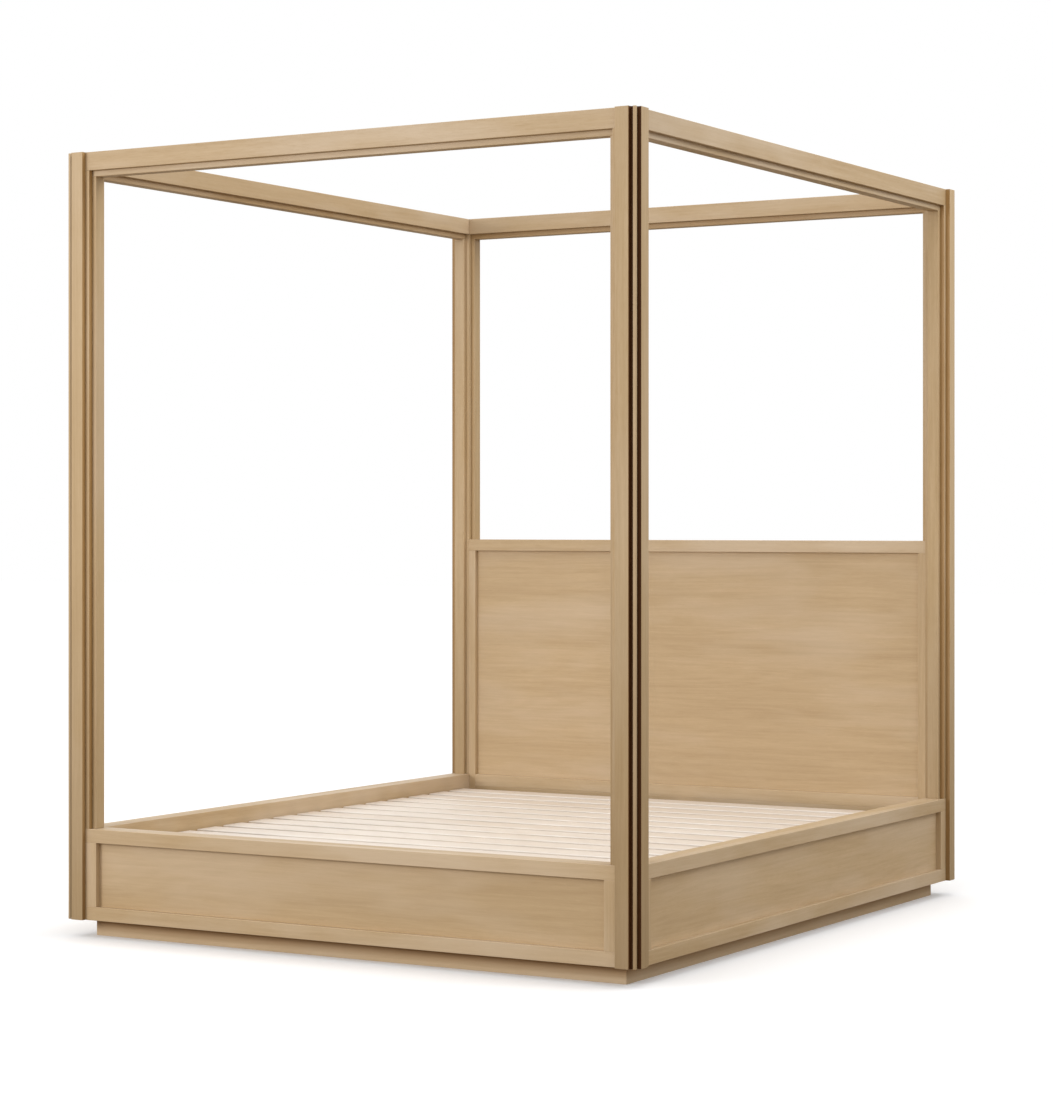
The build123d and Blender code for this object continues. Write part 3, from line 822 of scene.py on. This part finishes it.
def row_tree(name, store_tone):
    """Geometry Nodes: the piece repeated on a grid of columns and rows, with a tone for each if asked."""
    tree = bpy.data.node_groups.new(name, "GeometryNodeTree")
    tree.is_modifier = True
    tree.interface.new_socket("Geometry", in_out="INPUT", socket_type="NodeSocketGeometry")
    for label, kind, value in (("Columns", "NodeSocketInt", 1), ("Rows", "NodeSocketInt", 2),
                               ("Column spread", "NodeSocketFloat", 0.0),
                               ("Row spread", "NodeSocketFloat", 1.0), ("Seed", "NodeSocketInt", 7),
                               ("Material", "NodeSocketMaterial", None)):
        socket = tree.interface.new_socket(label, in_out="INPUT", socket_type=kind)
        if value is not None:
            socket.default_value = value
    tree.interface.new_socket("Geometry", in_out="OUTPUT", socket_type="NodeSocketGeometry")
    inner = tree.nodes.new("NodeGroupInput")
    outer = tree.nodes.new("NodeGroupOutput")
    w = Wiring(tree)
    grid = tree.nodes.new("GeometryNodeMeshGrid")
    w.join(inner.outputs["Column spread"], grid.inputs["Size X"])
    w.join(inner.outputs["Row spread"], grid.inputs["Size Y"])
    w.join(inner.outputs["Columns"], grid.inputs["Vertices X"])
    w.join(inner.outputs["Rows"], grid.inputs["Vertices Y"])
    place = tree.nodes.new("GeometryNodeInstanceOnPoints")
    w.join(grid.outputs["Mesh"], place.inputs["Points"])
    w.join(inner.outputs["Geometry"], place.inputs["Instance"])
    result = place.outputs["Instances"]
    if store_tone:
        pick = tree.nodes.new("FunctionNodeRandomValue")
        pick.data_type = "FLOAT"
        pick.inputs[2].default_value = -1.0
        pick.inputs[3].default_value = 1.0
        w.join(inner.outputs["Seed"], pick.inputs["Seed"])
        store = tree.nodes.new("GeometryNodeStoreNamedAttribute")
        store.data_type = "FLOAT"
        store.domain = "INSTANCE"
        store.inputs["Name"].default_value = "slat_tone"
        w.join(result, store.inputs["Geometry"])
        w.join(pick.outputs[1], store.inputs["Value"])
        result = store.outputs["Geometry"]
    realize = tree.nodes.new("GeometryNodeRealizeInstances")
    w.join(result, realize.inputs["Geometry"])
    paint = tree.nodes.new("GeometryNodeSetMaterial")
    w.join(realize.outputs["Geometry"], paint.inputs["Geometry"])
    w.join(inner.outputs["Material"], paint.inputs["Material"])
    w.join(paint.outputs["Geometry"], outer.inputs["Geometry"])
    return tree


def repeat(name, mesh, tree, values):
    """Plain mesh of what a Geometry Nodes tree makes from one piece."""
    seed_object = temporary(mesh)
    modifier = seed_object.modifiers.new("Repeat", "NODES")
    modifier.node_group = tree
    for item in tree.interface.items_tree:
        if item.item_type == "SOCKET" and item.in_out == "INPUT" and item.name in values:
            modifier[item.identifier] = values[item.name]
    made = settled_mesh(seed_object)
    made.name = name
    bpy.data.objects.remove(seed_object)
    return made


slat_outline = [(slats_low[0], -SLAT_WIDTH / 2), (slats_high[0], -SLAT_WIDTH / 2),
                (slats_high[0], SLAT_WIDTH / 2), (slats_low[0], SLAT_WIDTH / 2)]
slat_bores = []
for x in (-screw_across, screw_across):
    slat_bores.append(bore((x, 0, slats_high[2]), (0, 0, -1), SCREW_HOLE, THROUGH_SLAT))
    slat_bores.append(bore((x, 0, slats_high[2]), (0, 0, -1), HEAD_HOLE, HEAD_DEPTH))
one_slat = board_mesh("slat", [(slat_outline, slats_low[2], slats_high[2], slat_bores)], 0,
                      round_over=SLAT_EDGE)

slat_row = row_tree("Row of slats", True)
slat_mesh = repeat("slats_wood", one_slat, slat_row, {
    "Columns": 1, "Rows": SLAT_COUNT, "Row spread": slat_pitch * (SLAT_COUNT - 1), "Seed": 11,
    "Material": slat_pine})
tones = slat_mesh.attributes.get("slat_tone")
own_tone = slat_mesh.attributes.get("tone")
own_place = slat_mesh.attributes.get("place")
for vertex in slat_mesh.vertices:
    row = round((vertex.co.y - slats_low[1] - SLAT_WIDTH / 2) / slat_pitch)
    along, across, up = own_place.data[vertex.index].vector
    own_place.data[vertex.index].vector = (along + SLAT_SHIFT[0] * row, across + SLAT_SHIFT[1] * row, up)
for face in slat_mesh.polygons:
    own_tone.data[face.index].value = 0.9 * tones.data[face.vertices[0]].value
add_piece("slats_wood", slat_mesh, slat_pine, ["slats"])

ledger_boards = []
for side, sign in (("right", 1), ("left", -1)):
    bores = []
    for along in ledger_screw_places(side):
        start = (*on_plan(side, along, LEDGER_INNER), ledger_screw_level)
        bores.append(bore(start, way_on(side, 0, -1), SCREW_HOLE, THROUGH_LEDGER))
        bores.append(bore(start, way_on(side, 0, -1), HEAD_HOLE, HEAD_DEPTH))
    for row in range(SLAT_COUNT):
        y = slat_pitch * (row - (SLAT_COUNT - 1) / 2)
        mouth = (sign * screw_across, y, ledger_high[2])
        bores.append(bore(mouth, (0, 0, -1), SCREW_HOLE, HOLE_IN_LEDGER))
    outline = rectangle_on(side, LEDGER_END, span_of(side) - LEDGER_END, FRAME_INNER, LEDGER_INNER)
    ledger_boards.append((outline, ledger_low[2], ledger_high[2], bores))
board("slat_ledgers", ledger_boards, 1, slat_pine, "slat_wood")


def square_plan(x, y, half_x, half_y):
    return [(x - half_x, y - half_y), (x + half_x, y - half_y),
            (x + half_x, y + half_y), (x - half_x, y + half_y)]


beam_low, beam_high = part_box("centre_beam")
board("centre_beam", [(square_plan(0, 0, beam_high[0], beam_high[1]), beam_low[2], beam_high[2])], 1,
      slat_pine, "slat_wood", round_over=SOFT_EDGE)
legs_low, legs_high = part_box("centre_legs")
leg_half = (legs_high[0] - legs_low[0]) / 2
leg_pitch = (legs_high[1] - legs_low[1]) / 2 - leg_half
board("centre_legs", [(square_plan(0, y, leg_half, leg_half), legs_low[2], legs_high[2])
                      for y in (-leg_pitch, 0.0, leg_pitch)], 2, slat_pine, "slat_wood",
      round_over=SOFT_EDGE)


def lathe(profile, steps):
    """Closed solid turned about the vertical axis from (radius, height) points."""
    turned = bmesh.new()
    rings = []
    for radius, height in profile:
        if radius < 1e-6:
            rings.append([turned.verts.new((0, 0, height))])
        else:
            rings.append([turned.verts.new((radius * math.cos(math.tau * i / steps),
                                            radius * math.sin(math.tau * i / steps), height))
                          for i in range(steps)])
    for first, second in zip(rings, rings[1:]):
        for i in range(steps):
            j = (i + 1) % steps
            if len(first) == 1:
                turned.faces.new((first[0], second[j], second[i]))
            elif len(second) == 1:
                turned.faces.new((first[i], first[j], second[0]))
            else:
                turned.faces.new((first[i], first[j], second[j], second[i]))
    bmesh.ops.recalc_face_normals(turned, faces=turned.faces)
    return turned


def screw_mesh(length):
    """Screw, point down: flat head with a cross recess, and a plain pointed shank."""
    solid = lathe([(0, 0), (0.0036, 0), (SCREW_HEAD, -0.0006), (SCREW_HEAD, -HEAD_DEPTH),
                   (SCREW_SHANK, -HEAD_DEPTH), (SCREW_SHANK, -length + 0.004),
                   (0.0012, -length + 0.0015), (0, -length)], steps=20)
    recess = bmesh.new()
    for half_x, half_y in ((0.0026, 0.0005), (0.0005, 0.0026)):
        bar = bmesh.ops.create_cube(recess, size=1.0)
        bmesh.ops.scale(recess, vec=(2 * half_x, 2 * half_y, 0.0032), verts=bar["verts"])
    return cut_away(mesh_of(solid, "screw_blank"), mesh_of(recess, "recess"))


def joined(name, meshes):
    """One mesh from several."""
    whole = bmesh.new()
    for mesh in meshes:
        whole.from_mesh(mesh)
    return mesh_of(whole, name)


plain_row = row_tree("Rows of small pieces", False)
slat_screw = screw_mesh(SLAT_SCREW)
slat_screw.transform(Matrix.Translation((0, 0, slats_high[2])))
screws = repeat("slat_screws_steel", slat_screw, plain_row, {
    "Columns": 2, "Rows": SLAT_COUNT, "Column spread": 2 * screw_across,
    "Row spread": slat_pitch * (SLAT_COUNT - 1), "Material": steel})
add_piece("slat_screws_steel", screws, steel, ["slat_screws"])

ledger_screw_rows = []
for sign in (-1, 1):
    one = screw_mesh(LEDGER_SCREW)
    one.transform(Matrix.Rotation(math.radians(-90.0 * sign), 4, "Y"))
    one.transform(Matrix.Translation((sign * (half_width - LEDGER_INNER), 0, ledger_screw_level)))
    ledger_screw_rows.append(repeat("ledger_screw_row", one, plain_row, {
        "Columns": 1, "Rows": LEDGER_SCREWS, "Row spread": 2 * (half_length - LEDGER_SCREW_MARGIN),
        "Material": steel}))
add_piece("ledger_screws_steel", joined("ledger_screws_steel", ledger_screw_rows), steel,
          ["ledger_screws"])

glide = lathe([(0, 0), (0.0125, 0), (0.0145, 0.0004), (0.0158, 0.0016), (0.016, 0.003), (0.0156, 0.0052),
               (0.0148, 0.006), (0, 0.006)], steps=36)
glides = repeat("leg_glides_nylon", mesh_of(glide, "glide"), plain_row, {
    "Columns": 1, "Rows": 3, "Row spread": 2 * leg_pitch, "Material": nylon})
add_piece("leg_glides_nylon", glides, nylon, ["leg_glides"])


def strap_mesh(x):
    """Webbing strap under the slats: flat where a slat holds it, and slack between two slats."""
    strap_low, strap_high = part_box("slat_straps")
    left = x - STRAP_HALF
    right = x + STRAP_HALF
    strip = bmesh.new()
    rows = []
    for i in range(-2, (SLAT_COUNT - 1) * STRAP_STEPS + 3):
        y = slat_pitch * (i / STRAP_STEPS - (SLAT_COUNT - 1) / 2)
        y = max(strap_low[1], min(strap_high[1], y))
        from_slat = abs((i / STRAP_STEPS + 0.5) % 1.0 - 0.5) * slat_pitch
        slack = max(0.0, from_slat - SLAT_WIDTH / 2) / (slat_pitch / 2 - SLAT_WIDTH / 2)
        top = strap_high[2] - STRAP_SAG * math.sin(slack * math.pi / 2) ** 2
        under = top - STRAP_THICK
        rows.append([strip.verts.new(point) for point in (
            (left, y, top), (right, y, top), (right, y, under), (left, y, under))])
    for first, second in zip(rows, rows[1:]):
        for i in range(4):
            j = (i + 1) % 4
            strip.faces.new((first[i], first[j], second[j], second[i]))
    strip.faces.new(rows[0])
    strip.faces.new(list(reversed(rows[-1])))
    bmesh.ops.remove_doubles(strip, verts=strip.verts, dist=1e-5)
    bmesh.ops.recalc_face_normals(strip, faces=strip.faces)
    return mesh_of(strip, "strap")


strap_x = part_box("slat_straps")[1][0] - STRAP_HALF
straps = joined("slat_straps_webbing", [strap_mesh(-strap_x), strap_mesh(strap_x)])
add_piece("slat_straps_webbing", straps, webbing, ["slat_straps"])

# ---- carried-over CAD pieces: finishes only ----
for node in ("joint_studs", "barrel_nuts", "beam_hangers"):
    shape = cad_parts[node]
    if not shape.material_slots:
        shape.data.materials.append(steel)
    for place in shape.material_slots:
        place.material = steel

# =====================================================================================
# Floor, light and camera
# =====================================================================================
FLOOR_REACH = 40.0
floor_mesh = bpy.data.meshes.new("floor")
floor_mesh.from_pydata([(x, y, 0) for x, y in square_plan(0, 0, FLOOR_REACH, FLOOR_REACH)],
                       [], [(0, 1, 2, 3)])
floor = bpy.data.objects.new("floor", floor_mesh)
bpy.context.scene.collection.objects.link(floor)
floor_paint, w, surface = new_material("Studio floor")
surface.inputs["Base Color"].default_value = (0.95, 0.95, 0.955, 1)
surface.inputs["Roughness"].default_value = 0.9
surface.inputs["Specular IOR Level"].default_value = 0.0
surface.inputs["Emission Color"].default_value = (1.0, 1.0, 1.0, 1)
surface.inputs["Emission Strength"].default_value = 0.09
dull = floor_paint.node_tree.nodes.new("ShaderNodeBsdfDiffuse")
dull.inputs["Color"].default_value = (0.30, 0.255, 0.20, 1)
seen = floor_paint.node_tree.nodes.new("ShaderNodeLightPath")
either = floor_paint.node_tree.nodes.new("ShaderNodeMixShader")
w.join(seen.outputs["Is Camera Ray"], either.inputs[0])
w.join(dull.outputs[0], either.inputs[1])
w.join(surface.outputs[0], either.inputs[2])
w.join(either.outputs[0], floor_paint.node_tree.nodes["Material Output"].inputs["Surface"])
floor_mesh.materials.append(floor_paint)

world = bpy.data.worlds.new("Studio")
world.use_nodes = True
world.node_tree.nodes["Background"].inputs["Color"].default_value = (1.0, 1.0, 1.0, 1)
world.node_tree.nodes["Background"].inputs["Strength"].default_value = 1.0
bpy.context.scene.world = world


def soft_light(name, position, aim, width, height, power, colour, spread=180.0):
    lamp = bpy.data.lights.new(name, "AREA")
    lamp.shape = "RECTANGLE"
    lamp.size = width
    lamp.size_y = height
    lamp.energy = power
    lamp.color = colour
    lamp.spread = math.radians(spread)
    holder = bpy.data.objects.new(name, lamp)
    holder.location = position
    holder.rotation_euler = (Vector(aim) - Vector(position)).to_track_quat("-Z", "Y").to_euler()
    holder.visible_camera = False
    bpy.context.scene.collection.objects.link(holder)


soft_light("key", (-4.6, -9.0, 2.8), (0, 0, 1.2), 3.0, 2.6, 325.0, (1.0, 0.97, 0.93))
soft_light("window", (5.4, 1.2, 5.2), (0.7, 0.2, 2.4), 2.4, 2.4, 18.0, (0.93, 0.97, 1.0), 60.0)
soft_light("fill", (7.0, 1.0, 2.2), (0, 0, 1.0), 3.0, 3.0, 8.0, (1.0, 0.98, 0.95))
soft_light("overhead", (1.4, 0.2, 5.2), (-0.9, 0.1, 1.2), 1.6, 1.6, 29.0, (1.0, 0.98, 0.96))

lens = bpy.data.cameras.new("camera")
lens.sensor_fit = "AUTO"
lens.sensor_width = 36.0
lens.lens = 92.81
lens.shift_x = -0.0201
lens.shift_y = -0.0212
lens.clip_end = 200.0
camera = bpy.data.objects.new("camera", lens)
camera.location = (4.700, -7.976, 1.281)
camera.rotation_euler = (math.radians(90.0), 0.0, math.radians(30.237))
bpy.context.scene.collection.objects.link(camera)
bpy.context.scene.camera = camera
bpy.context.scene.view_settings.view_transform = "Standard"
